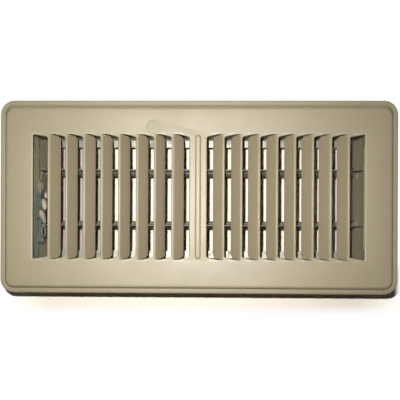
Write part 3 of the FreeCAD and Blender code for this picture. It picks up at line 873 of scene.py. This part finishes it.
def grip_plastic():
    """Marbled pale plastic, drab and green and then darker towards the eye, with dirt in streaks along the
    grip.
    """
    plastic = Shader("grip plastic")
    x, y, _ = plastic.spot()
    swirl = plastic.noise(6.0, detail=2.0, roughness=0.6, seed=12.0)
    along = (TONE_START - y) / TONE_RUN + (x - TONE_MIDDLE) * TONE_LEAN + (swirl - 0.5) * 0.12
    lilac = (0.54, 0.46, 0.37)
    cream = (0.60, 0.52, 0.36)
    drab = (0.27, 0.25, 0.17)
    green = (0.34, 0.345, 0.24)
    darker_drab = (0.20, 0.185, 0.12)
    dark = (0.17, 0.155, 0.10)
    tones = ((0.0, lilac), (0.20, lilac), (0.30, cream), (0.39, cream), (0.43, lilac), (0.50, lilac),
             (0.58, drab), (0.68, green), (0.74, darker_drab), (1.0, dark))
    colour = plastic.node("ShaderNodeValToRGB", {"stops": tones}, {0: along})[0]
    streak = plastic.noise(2.2, detail=3.0, stretch=(1, 0.35, 1), seed=13.0)
    colour = plastic.tint(colour, (0.16, 0.14, 0.09), plastic.step(streak, 0.52, 0.68) * 0.6)
    return plastic.finish({"Base Color": colour,
                           "Roughness": 0.34 + streak * 0.2,
                           "Normal": plastic.bump(streak, 0.03)})


# ---- the object ------------------------------------------------------------------------------
FINISHES = {
    "face_enamel": face_enamel(),
    "box_enamel": box_enamel(),
    "blade_enamel": blade_enamel(),
    "nylon": nylon(),
    "plated_steel": plated_steel(),
    "bright_steel": bright_steel(),
    "grip_plastic": grip_plastic(),
}
for subpart in frame["record"]["subparts"]:
    node = frame["nodes"][subpart["node"]]
    node.data.materials.clear()
    node.data.materials.append(FINISHES[subpart["material_slot"]])

faceplate(FINISHES["face_enamel"])
grip(FINISHES["grip_plastic"])


# ---- floor, light and camera, with lamps and camera placed in metres -----------------------------
def pale_floor():
    """White to the camera and in reflections, with the object's shadow, and dim to its light."""
    pale = Shader("pale floor")
    ray = pale.node("ShaderNodeLightPath")
    seen = ray["Is Camera Ray"].most(ray["Is Glossy Ray"]).most(ray["Is Transmission Ray"])
    x, y, _ = pale.spot()
    aside = abs(x)
    # lower and warmer close to the object: painted shade that darkens and warms its shadow there
    white = pale.tint((1.55, 1.42, 1.28), (5.0, 5.0, 5.0), pale.step(diagonal(x, y), 150.0, 260.0))
    # painted shade: greyer where it is seen through the outer slots
    outer = pale.step(x, -69.0, -82.0).most(pale.step(x, 100.0, 122.0) * 0.45)
    outer = outer * pale.step(aside, HALF_LENGTH - 7, HALF_LENGTH - 17)
    outer = outer * pale.step(abs(y), HALF_WIDTH - 7, HALF_WIDTH - 14)
    white = pale.tint(white, (0.80, 0.73, 0.66), outer)
    colour = pale.tint((0.05, 0.042, 0.028), white, seen)
    matt = pale.node("ShaderNodeBsdfDiffuse", {}, {"Color": colour})
    # plain white beyond the object's shadow, which reaches furthest at the front
    ends = pale.step(aside, HALF_LENGTH - 4, HALF_LENGTH + 27)
    ends = ends * pale.step(y, -HALF_WIDTH - 5, -HALF_WIDTH + 19)
    ends = ends.most(pale.step(aside, HALF_LENGTH + 23, HALF_LENGTH + 29))
    behind = pale.step(y, HALF_WIDTH - 14, HALF_WIDTH + 16)
    before = pale.step(y, -HALF_WIDTH - 17, -HALF_WIDTH - 29)
    far = ends.most(behind).most(before)
    bright = pale.node("ShaderNodeEmission", {}, {"Color": (1, 1, 1, 1), "Strength": 1.0})
    surface = pale.node("ShaderNodeMixShader", {}, {0: far * seen, 1: matt[0], 2: bright[0]})
    pale.node("ShaderNodeOutputMaterial", {}, {"Surface": surface[0]})
    return pale.material


def floor():
    """A floor 4 m square that the object stands on."""
    mesh = bmesh.new()
    bmesh.ops.create_grid(mesh, x_segments=8, y_segments=8, size=2.0)
    plane = held("floor", mesh)
    plane.data.materials.append(pale_floor())


def surroundings():
    """Low even light from all round; white where the camera sees it."""
    world = bpy.data.worlds.new("studio")
    world.use_nodes = True
    bpy.context.scene.world = world
    room = Nodes(world.node_tree)
    ray = room.node("ShaderNodeLightPath")
    seen = ray["Is Camera Ray"].most(ray["Is Transmission Ray"])
    tone = room.tint((1.0, 0.8, 0.5), (1, 1, 1), seen)
    air = room.node("ShaderNodeBackground", {}, {"Color": tone, "Strength": seen + (1.0 - seen) * 0.004})
    room.node("ShaderNodeOutputWorld", {}, {"Surface": air[0]})


def lamp(name, place, aim, size, power, colour, tall=None):
    """A round lamp, or an upright strip where `tall` is given, turned towards its aim."""
    data = bpy.data.lights.new(name, "AREA")
    data.shape = "RECTANGLE" if tall else "DISK"
    data.size = size
    data.size_y = tall or size
    data.energy = power
    data.color = colour
    made = linked(name, data)
    made.location = Vector(place)
    made.rotation_mode = "QUATERNION"
    made.rotation_quaternion = (Vector(aim) - Vector(place)).to_track_quat("-Z", "Y")
    made.visible_camera = False


def add_camera():
    """The camera, nearly straight above and a little to the front."""
    camera = linked("camera", bpy.data.cameras.new("camera"))
    camera.location = (0.00546, -0.01559, 0.34119)
    camera.rotation_euler = [math.radians(a) for a in (0.0, 0.79, 0.237)]
    camera.data.lens = 36.0
    camera.data.sensor_width = 36.0
    camera.data.shift_y = 0.0474
    camera.data.clip_start = 0.01
    bpy.context.scene.camera = camera


floor()
surroundings()
lamp("key", place=(-0.0080, 0.0025, 0.340), aim=(-0.055, 0.0, 0.057), size=0.004, power=0.89,
     colour=(1.0, 0.995, 0.955))
lamp("side", place=(-0.24, 0.16, 0.34), aim=(-0.10, 0.0, 0.057), size=0.15, power=0.02,
     colour=(1.0, 1.0, 0.96))
# low strips that only reach the sides of the box
for name, x, y, power in (("low left", -1.3, 0.1, 2.0), ("low right", 1.3, 0.1, 1.2),
                          ("low rear", 0.0, 1.2, 3.6), ("low front", 0.0, -1.2, 0.45)):
    lamp(name, place=(x, y, 0.014), aim=(0.0, 0.0, 0.014), size=0.60, power=power,
         colour=(1.0, 0.99, 0.97), tall=0.024)
add_camera()
bpy.context.scene.view_settings.view_transform = "Standard"
